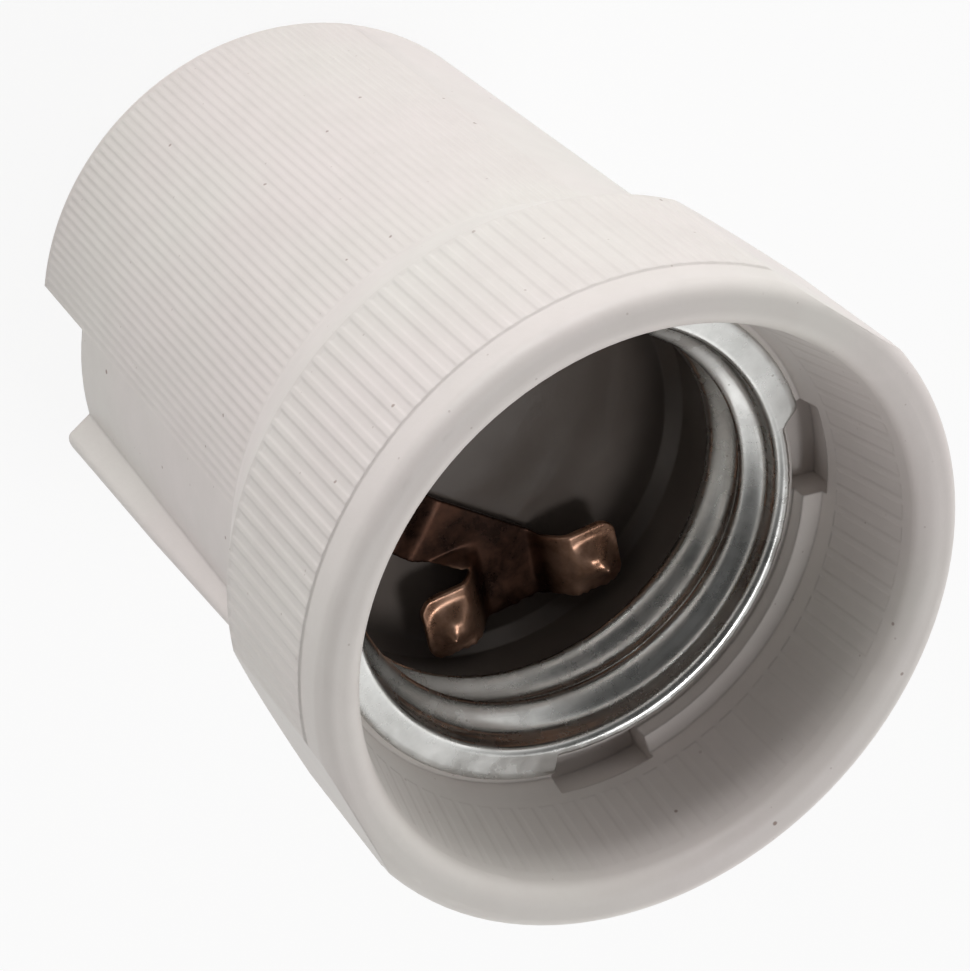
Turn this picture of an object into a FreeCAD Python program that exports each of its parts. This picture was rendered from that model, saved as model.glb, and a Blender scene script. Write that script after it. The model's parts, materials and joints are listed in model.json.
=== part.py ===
import FreeCAD, Part
import Sketcher
import os
from math import acos, cos, degrees, pi, radians, sin
from FreeCAD import Placement, Rotation, Vector

# Porcelain screw lampholder. The origin is the centre of the back face and +Z runs along
# the lamp axis, out of the mouth. +X is the side with the raised pad.

doc = FreeCAD.newDocument("lampholder")
dims = doc.addObject("Spreadsheet::Sheet", "dims")

SIZES = {
    # porcelain, outside
    "total_height": 50.0, "back_radius": 17.5, "body_radius": 17.75, "back_rounding": 0.8,
    "flange_height": 12.1, "shoulder_height": 4.9, "flange_radius": 20.0, "rim_height": 2.4,
    "flange_lip": 0.1, "rim_inset": 0.2, "rim_outer_rounding": 0.9,
    "rim_inner_rounding": 1.2, "flat_depth": 0.7, "flat_angle": 14.4,
    # porcelain, reeding
    "flange_rib_count": 124, "flange_rib_depth": 0.2, "flange_rib_share": 0.3,
    "body_rib_count": 188, "body_rib_depth": 0.13, "body_rib_share": 0.36,
    "skirt_rib_count": 72, "skirt_rib_depth": 0.12, "skirt_rib_share": 0.4,
    "skirt_rib_margin": 1.8, "skirt_rib_start": 2.2, "rib_slope": 0.14, "flute_lead": 0.06,
    "reeding_left": 216.0, "reeding_right": 312.0, "reeding_far_right": 44.0,
    "reeding_far_left": 152.0,
    # porcelain, inside
    "mouth_radius": 17.35, "skirt_depth": 9.35, "skirt_taper": 1.6, "seat_width": 1.65,
    "bore_depth": 6.95, "bore_step": 0.7, "well_depth": 4.7, "floor_bevel": 0.8,
    "ledge_rise": 1.05, "ledge_inset": 0.5, "ledge_root": 0.5, "ledge_from": 69.0,
    "ledge_to": 141.0, "pocket_inset": 0.35, "pocket_width": 2.3, "pocket_from": 47.0,
    "pocket_to": 163.0, "pocket_depth": 1.2, "pocket_rise": 1.4,
    # porcelain, side pad and back step
    "pad_face": 17.75, "pad_middle_face": 17.45, "pad_high_face": 17.0, "pad_root": 14.9,
    "pad_width": 16.6, "pad_middle": 22.0, "pad_end_gap": 3.5, "pad_rounding": 0.6,
    "step_face": 11.8, "step_height": 7.9,
    # porcelain, terminal chambers
    "chamber_gap": 0.9, "chamber_side_gap": 0.2, "strap_chamber_gap": 0.67,
    "chamber_roof": 15.0,
    # screw shell
    "sheet": 0.35, "lip_gap": 0.3, "lip_trim": 0.2, "lip_rounding": 0.8,
    "neck_gap": 0.33, "neck_height": 0.9, "neck_bend": 0.33, "neck_lap": 0.08,
    "neck_overlap": 0.25, "thread_fade": 1.2, "thread_gap": 0.4, "thread_depth": 1.1,
    "thread_pitch": 3.629, "thread_end_gap": 0.25, "thread_lead": 3.35, "thread_start": 90.0,
    "thread_facets": 48, "thread_rows": 6,
    # contact spring
    "leaf": 0.4, "leaf_lift": 0.45, "leaf_angle": 63.0, "leaf_front": 10.75,
    "leaf_right": 2.1, "leaf_left": 2.6, "arm_back": 6.3, "arm_right": 6.45,
    "arm_left": 6.9, "arm_bend": 0.9, "arm_rise": 1.9, "arm_rounding": 0.9,
    "stud_side": 2.8, "stud_height": 0.45, "stud_rounding": 0.8, "stud_draft": 25.0,
    "stud_front": 8.75, "stud_right": 4.5, "stud_left": 4.95, "peak_radius": 0.75,
    "peak_tip": 0.25, "peak_height": 0.55, "stem_angle": 292.0, "stem_slope": 1.6,
    "foot_width": 4.2, "foot_reach": 2.2, "foot_rounding": 0.8,
    # terminals
    "terminal_centre": 7.3, "terminal_length": 7.6, "terminal_width": 12.0,
    "terminal_height": 6.0, "terminal_edge": 0.3, "screw_place": 2.2, "screw_radius": 1.95,
    "screw_clearance": 0.06, "screw_length": 5.4, "screw_end_gap": 0.4,
    "head_radius": 3.1, "head_height": 2.4, "head_bevel": 0.4, "slot_width": 0.9,
    "slot_depth": 1.2, "clamp_side": 6.0, "clamp_sheet": 0.8, "clamp_gap": 0.2,
    "clamp_rounding": 0.8, "clamp_hole_gap": 0.25,
    # rivet and strap
    "rivet_inset": 0.3, "rivet_y": -3.0, "rivet_radius": 1.3, "rivet_clearance": 0.06,
    "rivet_head_radius": 2.1, "rivet_head_height": 0.8, "rivet_rim": 0.08,
    "rivet_tail_radius": 1.8, "rivet_tail_height": 0.6, "strap_angle": 195.0,
    "strap_width": 3.6, "strap_sheet": 0.3, "strap_drop": 3.65, "strap_reach": 8.5,
    "strap_gap": 0.03, "strap_window": 0.9, "slot_gap": 0.2,
    # how far a cutting tool runs past the face it cuts
    "tool_reach": 1.0,
}
for row, (name, value) in enumerate(SIZES.items(), 1):
    dims.set("A%d" % row, name)
    dims.set("B%d" % row, str(value))
    dims.setAlias("B%d" % row, name)
doc.recompute()


# Heights and radii that follow from the sizes, as expressions over the sheet.
SHOULDER_HIGH = "(dims.total_height - dims.flange_height)"
SHOULDER_LOW = "(%s - dims.shoulder_height)" % SHOULDER_HIGH
FLANGE_TOP = "(dims.total_height - dims.rim_height)"
RIM = "(dims.flange_radius - dims.rim_inset)"
FLAT = "(dims.flange_radius - dims.flat_depth)"
SEAT = "(dims.total_height - dims.skirt_depth)"
SEAT_RADIUS = "(dims.mouth_radius - dims.skirt_taper)"
BORE = "(%s - dims.seat_width)" % SEAT_RADIUS
BORE_FOOT = "(%s - dims.bore_depth)" % SEAT
WELL = "(%s - dims.bore_step)" % BORE
FLOOR = "(%s - dims.well_depth)" % BORE_FOOT
NECK = "(%s - dims.sheet - dims.neck_gap)" % BORE
NECK_FOOT = "(%s - dims.neck_height)" % SEAT
THREAD = "(%s - dims.sheet - dims.thread_gap)" % BORE
STRAP_FACE = "(%s + dims.sheet + dims.strap_gap)" % THREAD
RIVET_X = "(dims.terminal_centre - dims.rivet_inset)"
RIVET_HOLE = "dims.rivet_radius + dims.rivet_clearance"
LEAF = "(%s + dims.leaf_lift)" % FLOOR
REACH = " + dims.tool_reach"
BELOW = " - dims.tool_reach"
NEAR = 1e-4


def value(text):
    """Number that an expression over the sheet gives."""
    return float(dims.evalExpression(text))


def size(name):
    return value("dims." + name)


def upright(edge):
    """True for an edge whose ends stand over each other or lean."""
    return abs(edge.Vertexes[0].Z - edge.Vertexes[-1].Z) > NEAR


def bind(obj, **texts):
    """Bind properties to sheet expressions; a double underscore stands for a dot."""
    for name, text in texts.items():
        obj.setExpression(name.replace("__", "."), text)


def origin_plane(body, role):
    return [f for f in body.Origin.OriginFeatures if f.Role == role][0]


def add_outline(sketch, corners):
    """Closed polygon whose corners are pairs of expressions, each one constrained."""
    spots = [[float(sketch.evalExpression(text)) for text in corner] for corner in corners]
    first = sketch.GeometryCount
    for i, spot in enumerate(spots):
        after = spots[(i + 1) % len(spots)]
        sketch.addGeometry(Part.LineSegment(Vector(*spot, 0), Vector(*after, 0)), False)
    for i in range(len(spots)):
        after = first + (i + 1) % len(spots)
        sketch.addConstraint(Sketcher.Constraint("Coincident", first + i, 2, after, 1))
    for i, (spot, corner) in enumerate(zip(spots, corners)):
        for kind, number, text in zip(("DistanceX", "DistanceY"), spot, corner):
            index = sketch.addConstraint(
                Sketcher.Constraint(kind, -1, 1, first + i, 1, number))
            sketch.setExpression("Constraints[%d]" % index, text)


def rectangle(x_low, x_high, y_low, y_high):
    return [(x_low, y_low), (x_high, y_low), (x_high, y_high), (x_low, y_high)]


def body_sketch(body, name, role, corners, offset=None):
    """Sketch on one of the body's own origin planes, lifted by an expression."""
    sketch = body.newObject("Sketcher::SketchObject", name)
    sketch.AttachmentSupport = (origin_plane(body, role), [""])
    sketch.MapMode = "FlatFace"
    if offset:
        bind(sketch, AttachmentOffset__Base__z=offset)
    add_outline(sketch, corners)
    return sketch


def turned(body, name, corners):
    """Revolution about Z of a profile drawn as radius and height."""
    sketch = body_sketch(body, name + "_profile", "XZ_Plane", corners)
    solid = body.newObject("PartDesign::Revolution", name)
    solid.Profile = sketch
    solid.ReferenceAxis = (sketch, ["V_Axis"])
    solid.Angle = 360.0
    return solid


def padded(body, name, corners, low, length):
    """Pad of an XY outline from the height low upwards."""
    sketch = body_sketch(body, name + "_outline", "XY_Plane", corners, low)
    solid = body.newObject("PartDesign::Pad", name)
    solid.Profile = sketch
    bind(solid, Length=length)
    return solid


def rounded(body, name, base, radius, wanted):
    """PartDesign fillet of the edges that the test wanted accepts."""
    doc.recompute()
    names = ["Edge%d" % i for i, edge in enumerate(base.Shape.Edges, 1) if wanted(edge)]
    solid = body.newObject("PartDesign::Fillet", name)
    solid.Base = (base, names)
    bind(solid, Radius=radius)
    return solid


def bevelled(body, name, base, width, wanted):
    """PartDesign chamfer of the edges that the test wanted accepts."""
    doc.recompute()
    names = ["Edge%d" % i for i, edge in enumerate(base.Shape.Edges, 1) if wanted(edge)]
    solid = body.newObject("PartDesign::Chamfer", name)
    solid.Base = (base, names)
    bind(solid, Size=width)
    return solid


def ring_edge(radius, height):
    """Test for a circular edge about Z of this radius at this height."""
    def wanted(edge):
        curve = edge.Curve
        return (isinstance(curve, Part.Circle) and abs(curve.Radius - radius) < NEAR
                and abs(curve.Center.z - height) < NEAR)
    return wanted


def box(name, x_low, x_high, y_low, y_high, z_low, z_high, turn=None):
    """Part::Box between pairs of expressions, turned about Z where turn is given."""
    solid = doc.addObject("Part::Box", name)
    bind(solid, Length="(%s) - (%s)" % (x_high, x_low), Width="(%s) - (%s)" % (y_high, y_low),
         Height="(%s) - (%s)" % (z_high, z_low))
    if turn is None:
        bind(solid, Placement__Base__x=x_low, Placement__Base__y=y_low)
    else:
        solid.Placement = Placement(Vector(), Rotation(Vector(0, 0, 1), 1.0))
        bind(solid, Placement__Rotation__Angle=turn,
             Placement__Base__x="(%s) * cos((%s) * 1 deg) - (%s) * sin((%s) * 1 deg)"
             % (x_low, turn, y_low, turn),
             Placement__Base__y="(%s) * sin((%s) * 1 deg) + (%s) * cos((%s) * 1 deg)"
             % (x_low, turn, y_low, turn))
    bind(solid, Placement__Base__z=z_low)
    return solid


def cylinder(name, radius, z_low, z_high, x="0", y="0"):
    solid = doc.addObject("Part::Cylinder", name)
    bind(solid, Radius=radius, Height="(%s) - (%s)" % (z_high, z_low),
         Placement__Base__x=x, Placement__Base__y=y, Placement__Base__z=z_low)
    return solid


def sector(name, r_in, r_out, z_low, z_high, start, end):
    """Part of a ring between two angles about Z."""
    outer = doc.addObject("Part::Cylinder", name + "_outer")
    outer.Placement = Placement(Vector(), Rotation(Vector(0, 0, 1), 1.0))
    bind(outer, Radius=r_out, Height="(%s) - (%s)" % (z_high, z_low),
         Angle="(%s) - (%s)" % (end, start), Placement__Rotation__Angle=start,
         Placement__Base__z=z_low)
    inner = cylinder(name + "_inner", r_in, "(%s)" % z_low + BELOW, "(%s)" % z_high + REACH)
    return cut(name, outer, inner)


def cut(name, base, tool):
    solid = doc.addObject("Part::Cut", name)
    solid.Base = base
    solid.Tool = tool
    return solid


def fuse(name, shapes):
    solid = doc.addObject("Part::MultiFuse", name)
    solid.Shapes = shapes
    return solid


def together(name, shapes):
    """Compound of tools that don't touch each other."""
    group = doc.addObject("Part::Compound", name)
    group.Links = shapes
    return group


def spot(radius, angle, z):
    return Vector(radius * cos(radians(angle)), radius * sin(radians(angle)), z)


def reeded_wire(radius, z, depth, share, step, spans, gap_radius=None):
    """Closed wire round Z: ridges and flutes inside the spans, wide arcs between them."""
    slope = size("rib_slope")
    corners = []
    for start, end in spans:
        number = int((end - start) / step + NEAR)
        first = (start + end - number * step) / 2.0
        last = first + number * step
        if gap_radius:
            corners.append((gap_radius, first))
        for k in range(number):
            base = first + k * step
            corners += [(radius, base), (radius, base + step * share),
                        (radius - depth, base + step * (share + slope)),
                        (radius - depth, base + step * (1.0 - slope))]
        if gap_radius:
            corners += [(radius, last), (gap_radius, last)]
    edges = []
    for (r, angle), (r_next, angle_next) in zip(corners, corners[1:] + corners[:1]):
        start, end = spot(r, angle, z), spot(r_next, angle_next, z)
        if gap_radius and r == r_next == gap_radius:
            turn = (angle_next - angle) % 360.0
            edges.append(Part.Arc(start, spot(r, angle + turn / 2.0, z), end).toShape())
        else:
            edges.append(Part.makeLine(start, end))
    return Part.Wire(edges)


def reeding(name, part, low, high, z_low, z_high, spans):
    """Ring that leaves flutes when it is cut from a drum of radii low and high."""
    depth, share = size(part + "_rib_depth"), size(part + "_rib_share")
    drum_radius = max(low, high) + size("tool_reach")
    gap_radius = drum_radius + size("tool_reach")
    step = 360.0 / size(part + "_rib_count")
    core = Part.makeLoft([reeded_wire(r, z, depth, share, step, spans, gap_radius)
                          for r, z in ((low, z_low), (high, z_high))], True, True)
    drum = Part.makeCylinder(drum_radius, z_high - z_low, Vector(0, 0, z_low))
    ring = doc.addObject("Part::Feature", name)
    ring.Shape = drum.cut(core)
    return ring


def pad_blank():
    """Flat-faced pad on the side of the barrel, which leans in towards the flange."""
    raised = doc.addObject("PartDesign::Body", "pad_blank")
    pad_high = SHOULDER_HIGH + " - dims.pad_end_gap"
    side = body_sketch(raised, "pad_side", "XZ_Plane", [
        ("dims.pad_root", "dims.step_height"), ("dims.pad_face", "dims.step_height"),
        ("dims.pad_middle_face", "dims.pad_middle"), ("dims.pad_high_face", pad_high),
        ("dims.pad_root", pad_high)], "-dims.pad_width / 2")
    pad = raised.newObject("PartDesign::Pad", "pad")
    pad.Profile = side
    bind(pad, Length="dims.pad_width")
    outside = size("pad_high_face") - NEAR
    foot = size("step_height") + NEAR

    def pad_border(edge):
        """Edges round the outer face, but neither its bend nor its top."""
        across = abs(edge.Vertexes[0].Y - edge.Vertexes[1].Y) > NEAR
        low = max(v.Z for v in edge.Vertexes) < foot
        return min(v.X for v in edge.Vertexes) > outside and (low or not across)

    rounded(raised, "pad_edges", pad, "dims.pad_rounding", pad_border)
    return raised


def back_tools():
    """Cuts for the step and the two terminal chambers that open at the back."""
    reach = "dims.flange_radius" + REACH
    below = "0" + BELOW
    inner = "dims.terminal_centre - dims.terminal_length / 2 - dims.chamber_gap"
    outer = "dims.terminal_centre + dims.terminal_length / 2 + dims.chamber_gap"
    half = "(dims.terminal_width / 2 + dims.chamber_side_gap)"
    return [
        box("back_step", "dims.step_face", reach, "-(%s)" % reach, reach, below,
            "dims.step_height"),
        box("contact_chamber", inner, outer, "-" + half, half, below, "dims.chamber_roof"),
        box("shell_chamber", "-(%s + dims.strap_sheet + dims.strap_chamber_gap)" % STRAP_FACE,
            "-(%s)" % inner, "-" + half, half, below, "dims.chamber_roof"),
    ]


def strap_tools():
    """Slot for the strap, its opening into the well, and the hole for the rivet."""
    half = "(dims.strap_width / 2 + dims.slot_gap)"
    return [
        box("strap_slot", STRAP_FACE + " - dims.slot_gap",
            STRAP_FACE + " + dims.strap_sheet + dims.slot_gap", "-" + half, half,
            "dims.chamber_roof" + BELOW, "%s - dims.strap_drop + dims.slot_gap" % SEAT,
            "dims.strap_angle"),
        box("strap_opening", STRAP_FACE + " - dims.strap_window", STRAP_FACE, "-" + half, half,
            FLOOR + " + dims.floor_bevel", BORE_FOOT + " + dims.slot_gap", "dims.strap_angle"),
        cylinder("rivet_hole", RIVET_HOLE, "dims.chamber_roof" + BELOW, FLOOR + REACH,
                 RIVET_X, "dims.rivet_y"),
    ]


def porcelain():
    """The one-piece glazed body: skirt, shell seat, well, back chambers and pad."""
    body = doc.addObject("PartDesign::Body", "porcelain_blank")
    blank = turned(body, "blank", [
        ("0", "0"), ("dims.back_radius", "0"), ("dims.body_radius", SHOULDER_LOW),
        ("dims.flange_radius", SHOULDER_HIGH), ("dims.flange_radius", FLANGE_TOP),
        ("dims.flange_radius - dims.flange_lip", FLANGE_TOP + " + dims.flange_lip"),
        (RIM, "dims.total_height"), ("dims.mouth_radius", "dims.total_height"),
        (SEAT_RADIUS, SEAT), (BORE, SEAT), (BORE, BORE_FOOT), (WELL, BORE_FOOT),
        (WELL, FLOOR), ("0", FLOOR),
    ])
    top = size("total_height")
    blank = rounded(body, "rim_outside", blank, "dims.rim_outer_rounding",
                    ring_edge(value(RIM), top))
    blank = rounded(body, "rim_inside", blank, "dims.rim_inner_rounding",
                    ring_edge(size("mouth_radius"), top))
    blank = bevelled(body, "well_foot", blank, "dims.floor_bevel",
                     ring_edge(value(WELL), value(FLOOR)))
    rounded(body, "back_edge", blank, "dims.back_rounding",
            ring_edge(size("back_radius"), 0.0))

    reach = "dims.flange_radius" + REACH
    flats = [box("flat_%s" % side, FLAT, reach, "-(%s)" % reach, reach,
                 SHOULDER_LOW, "dims.total_height" + REACH, turn)
             for side, turn in (("right", "-dims.flat_angle"), ("left", "180 + dims.flat_angle"))]
    ledge = sector("ledge", BORE + " + dims.ledge_inset", SEAT_RADIUS + " + dims.ledge_root",
                   SEAT + " - dims.ledge_root", SEAT + " + dims.ledge_rise",
                   "dims.ledge_from", "dims.ledge_to")
    pocket = BORE + " + dims.pocket_inset"
    pockets = [sector("pocket_%s" % side, pocket, pocket + " + dims.pocket_width",
                      SEAT + " - dims.pocket_depth", SEAT + " + dims.pocket_rise", start, end)
               for side, start, end in (("right", "dims.pocket_from", "dims.ledge_from"),
                                        ("left", "dims.ledge_to", "dims.pocket_to"))]

    flat = size("flat_angle")
    half_flat = degrees(acos(value(FLAT) / size("flange_radius")))
    flange_spans = [(180.0 + flat + half_flat, 360.0 - flat - half_flat),
                    (half_flat - flat, 180.0 + flat - half_flat)]
    body_spans = [(size("reeding_left"), size("reeding_right")),
                  (size("reeding_far_right"), size("reeding_far_left"))]
    flutes = [
        reeding("flange_flutes", "flange", size("flange_radius"), size("flange_radius"),
                value(SHOULDER_HIGH), value(FLANGE_TOP), flange_spans),
        reeding("body_flutes", "body", size("back_radius"), size("body_radius"),
                size("back_rounding"), value(SHOULDER_LOW), body_spans),
        skirt_flutes(),
    ]
    shaped = fuse("porcelain_raised", [body, pad_blank(), ledge])
    tools = fuse("porcelain_cuts", back_tools() + strap_tools() + flats + pockets)
    hollowed = cut("porcelain_hollowed", shaped, tools)
    return cut("body", hollowed, together("flutes", flutes))


def skirt_flutes():
    """Core with shallow outward flutes, which cut the inside of the skirt."""
    seat = value(SEAT)
    taper = size("skirt_taper") / size("skirt_depth")
    levels = (seat + size("skirt_rib_start"), size("total_height") - size("skirt_rib_margin"))
    depth, lead = size("skirt_rib_depth"), size("flute_lead")
    wires = [reeded_wire(value(SEAT_RADIUS) + taper * (z - seat) + depth, z, depth + lead,
                         1.0 - size("skirt_rib_share"), 360.0 / size("skirt_rib_count"),
                         [(0.0, 360.0)]) for z in levels]
    core = doc.addObject("Part::Feature", "skirt_flutes")
    core.Shape = Part.makeLoft(wires, True, True)
    return core


def threaded_wall():
    """The threaded sheet as facets whose rows follow the helix between two flat ends."""
    low = value(BORE_FOOT) + size("thread_end_gap")
    neck_foot, neck, lap = value(NECK_FOOT), value(NECK), size("neck_lap")
    high = neck_foot + size("neck_overlap")
    crest, start = value(SEAT) - size("thread_lead"), size("thread_start")
    crest_radius, half = value(THREAD), size("thread_depth") / 2.0
    columns, rows = int(size("thread_facets")), int(size("thread_rows"))
    pitch, sheet, fade_height = size("thread_pitch"), size("sheet"), size("thread_fade")
    points, facets, places = [], [], {}

    def radius(angle, z):
        """Inner radius: a right-hand rounded thread that fades into the neck."""
        turns = (z - crest) / pitch - (angle - start) / 360.0
        wave = crest_radius - half + half * cos(2.0 * pi * turns)
        fade = min(max((z - neck_foot) / fade_height + 1.0, 0.0), 1.0)
        fade = fade * fade * (3.0 - 2.0 * fade)
        return wave + fade * (neck + lap - wave)

    def node(column, z, outside):
        angle = 360.0 * column / columns
        z = min(max(z, low), high)
        wall = sheet - (2.0 * lap if z > neck_foot else 0.0)
        place = spot(radius(angle, z) + (wall if outside else 0.0), angle, z)
        key = tuple(round(c, 5) for c in place)
        if key not in places:
            places[key] = len(points)
            points.append(place)
        return places[key]

    def add(a, b, c):
        if len({a, b, c}) == 3:
            facets.append((a, b, c))

    rise, lead = pitch / rows, pitch / columns
    count = int((high - low) / rise) + 3 * rows
    for i in range(columns):
        base = crest + pitch * (i / columns - start / 360.0)
        for k in range(-count, count):
            z = base + k * rise
            for outside in (False, True):
                a, b = node(i, z, outside), node(i + 1, z + lead, outside)
                c, d = node(i + 1, z + lead + rise, outside), node(i, z + rise, outside)
                for face in ((a, b, c), (a, c, d)):
                    add(*(face if outside else face[::-1]))
        for z, flip in ((low, False), (high, True)):
            a, b = node(i, z, False), node(i + 1, z, False)
            c, d = node(i + 1, z, True), node(i, z, True)
            for face in ((a, b, c), (a, c, d)):
                add(*(face[::-1] if flip else face))
    skin = Part.Shape()
    skin.makeShapeFromMesh((points, facets), NEAR)
    wall = doc.addObject("Part::Feature", "threaded_wall")
    wall.Shape = Part.Solid(Part.Shell(skin.Faces))
    return wall


def screw_shell():
    """Thin threaded sleeve with a neck and a lip that rests on the porcelain seat."""
    body = doc.addObject("PartDesign::Body", "lip_blank")
    top = SEAT + " + dims.sheet"
    wall = NECK + " + dims.sheet"
    edge_radius = SEAT_RADIUS + " - dims.lip_gap"
    lip = turned(body, "lip", [
        (NECK, NECK_FOOT), (wall, NECK_FOOT), (wall, SEAT), (edge_radius, SEAT),
        (edge_radius, top), (NECK, top)])
    bevelled(body, "lip_bend", lip, "dims.neck_bend", ring_edge(value(NECK), value(top)))
    gap = sector("lip_gap", BORE + " + dims.lip_trim", edge_radius + REACH, SEAT + BELOW,
                 top + REACH, "dims.pocket_from", "dims.pocket_to")
    trimmed = cut("lip_trimmed", body, gap)
    doc.recompute()
    rim = value(edge_radius) - NEAR
    corners = [i for i, edge in enumerate(trimmed.Shape.Edges, 1) if upright(edge)
               and min(Vector(v.X, v.Y, 0).Length for v in edge.Vertexes) > rim]
    eased = doc.addObject("Part::Fillet", "lip_eased")
    eased.Base = trimmed
    eased.Edges = [(i, size("lip_rounding"), size("lip_rounding")) for i in corners]
    return fuse("screw_shell", [eased, threaded_wall()])


def leaf_spot(n, t):
    """Global X and Y expressions of a place given along and across the leaf."""
    angle = "(dims.leaf_angle * 1 deg)"
    return ("(%s) * cos%s - (%s) * sin%s" % (n, angle, t, angle),
            "(%s) * sin%s + (%s) * cos%s" % (n, angle, t, angle))


def stem_spot(along, across):
    """Global X and Y expressions of a place given along and across the stem."""
    angle = "(dims.stem_angle * 1 deg)"
    return (RIVET_X + " + (%s) * cos%s - (%s) * sin%s" % (along, angle, across, angle),
            "dims.rivet_y + (%s) * sin%s + (%s) * cos%s" % (along, angle, across, angle))


def contact_spring():
    """Stamped sheet contact: a riveted foot, a stem and a tee whose two arms are bent up."""
    tee = doc.addObject("PartDesign::Body", "tee_blank")
    tee.Placement = Placement(Vector(), Rotation(Vector(0, 0, 1), 1.0))
    bind(tee, Placement__Rotation__Angle="dims.leaf_angle")
    low = LEAF
    raised = low + " + dims.arm_rise"
    lead = "dims.leaf * tan(atan2(dims.arm_rise; dims.arm_bend) / 2)"
    section = [
        ("-dims.arm_left", raised), ("-dims.leaf_left - dims.arm_bend", raised),
        ("-dims.leaf_left", low), ("dims.leaf_right", low),
        ("dims.leaf_right + dims.arm_bend", raised), ("dims.arm_right", raised),
        ("dims.arm_right", raised + " + dims.leaf"),
        ("dims.leaf_right + dims.arm_bend - " + lead, raised + " + dims.leaf"),
        ("dims.leaf_right - " + lead, low + " + dims.leaf"),
        ("-dims.leaf_left + " + lead, low + " + dims.leaf"),
        ("-dims.leaf_left - dims.arm_bend + " + lead, raised + " + dims.leaf"),
        ("-dims.arm_left", raised + " + dims.leaf"),
    ]
    sketch = body_sketch(tee, "tee_section", "YZ_Plane", section, "dims.arm_back")
    strip = tee.newObject("PartDesign::Pad", "tee_strip")
    strip.Profile = sketch
    bind(strip, Length="dims.leaf_front - dims.arm_back")

    ends = (size("arm_right"), -size("arm_left"))

    def arm_corner(edge):
        first = edge.Vertexes[0]
        return upright(edge) and min(abs(first.Y - end) for end in ends) < NEAR

    rounded(tee, "arm_corners", strip, "dims.arm_rounding", arm_corner)

    stem = doc.addObject("PartDesign::Body", "stem_blank")
    back = "-dims.foot_reach - dims.stem_slope"
    half = "dims.foot_width / 2"
    padded(stem, "stem", [leaf_spot("dims.arm_back + dims.leaf", "dims.leaf_right"),
                          leaf_spot("dims.arm_back", "dims.leaf_right"),
                          stem_spot(back, "-" + half), stem_spot(back, half),
                          leaf_spot("dims.arm_back", "-dims.leaf_left"),
                          leaf_spot("dims.arm_back + dims.leaf", "-dims.leaf_left")],
           low, "dims.leaf")

    foot = doc.addObject("PartDesign::Body", "foot_blank")
    foot.Placement = Placement(Vector(), Rotation(Vector(0, 0, 1), 1.0))
    bind(foot, Placement__Rotation__Angle="dims.stem_angle",
         Placement__Base__x=RIVET_X, Placement__Base__y="dims.rivet_y")
    profile = body_sketch(foot, "foot_profile", "XZ_Plane", [
        (back, low), ("-dims.foot_reach", FLOOR), ("dims.foot_reach", FLOOR),
        ("dims.foot_reach", FLOOR + " + dims.leaf"), ("-dims.foot_reach", FLOOR + " + dims.leaf"),
        (back, low + " + dims.leaf")], "-" + half)
    plate = foot.newObject("PartDesign::Pad", "foot_plate")
    plate.Profile = profile
    bind(plate, Length="dims.foot_width")
    rounded(foot, "foot_corners", plate, "dims.foot_rounding",
            lambda edge: min(v.X for v in edge.Vertexes) > size("foot_reach") - NEAR
            and upright(edge))

    studs = []
    for side, across in (("right", "dims.stud_right"), ("left", "-dims.stud_left")):
        stud = doc.addObject("PartDesign::Body", "stud_blank_" + side)
        stud.Placement = Placement(Vector(), Rotation(Vector(0, 0, 1), 1.0))
        x, y = leaf_spot("dims.stud_front", across)
        bind(stud, Placement__Rotation__Angle="dims.leaf_angle", Placement__Base__x=x,
             Placement__Base__y=y)
        side_half = "dims.stud_side / 2"
        block = padded(stud, "stud_" + side,
                       rectangle("-" + side_half, side_half, "-" + side_half, side_half),
                       raised + " + dims.leaf / 2", "dims.leaf / 2 + dims.stud_height")
        bind(block, TaperAngle="-dims.stud_draft")
        rounded(stud, "stud_corners_" + side, block, "dims.stud_rounding", upright)
        peak = doc.addObject("Part::Cone", "peak_" + side)
        bind(peak, Radius1="dims.peak_radius", Radius2="dims.peak_tip",
             Height="dims.peak_height", Placement__Base__x=x, Placement__Base__y=y,
             Placement__Base__z=raised + " + dims.leaf + dims.stud_height")
        studs += [stud, peak]
    hole = cylinder("foot_hole", RIVET_HOLE, FLOOR + BELOW, FLOOR + " + dims.leaf" + REACH,
                    RIVET_X, "dims.rivet_y")
    return cut("contact_spring", fuse("contact_blank", [tee, stem, foot] + studs), hole)


def contact_rivet():
    """Rivet that ties the contact's foot to the terminal block through the web."""
    top = FLOOR + " + dims.leaf"
    foot = "dims.chamber_roof - dims.terminal_height"
    body = doc.addObject("PartDesign::Body", "contact_rivet")
    rivet = turned(body, "rivet", [
        ("0", foot + " - dims.rivet_tail_height"),
        ("dims.rivet_tail_radius", foot + " - dims.rivet_tail_height"),
        ("dims.rivet_tail_radius", foot), ("dims.rivet_radius", foot),
        ("dims.rivet_radius", top), ("dims.rivet_head_radius", top),
        ("dims.rivet_head_radius", top + " + dims.rivet_head_height"),
        ("0", top + " + dims.rivet_head_height")])
    rounded(body, "rivet_dome", rivet, "dims.rivet_head_height - dims.rivet_rim",
            ring_edge(size("rivet_head_radius"), value(top + " + dims.rivet_head_height")))
    bind(body, Placement__Base__x=RIVET_X, Placement__Base__y="dims.rivet_y")


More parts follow.
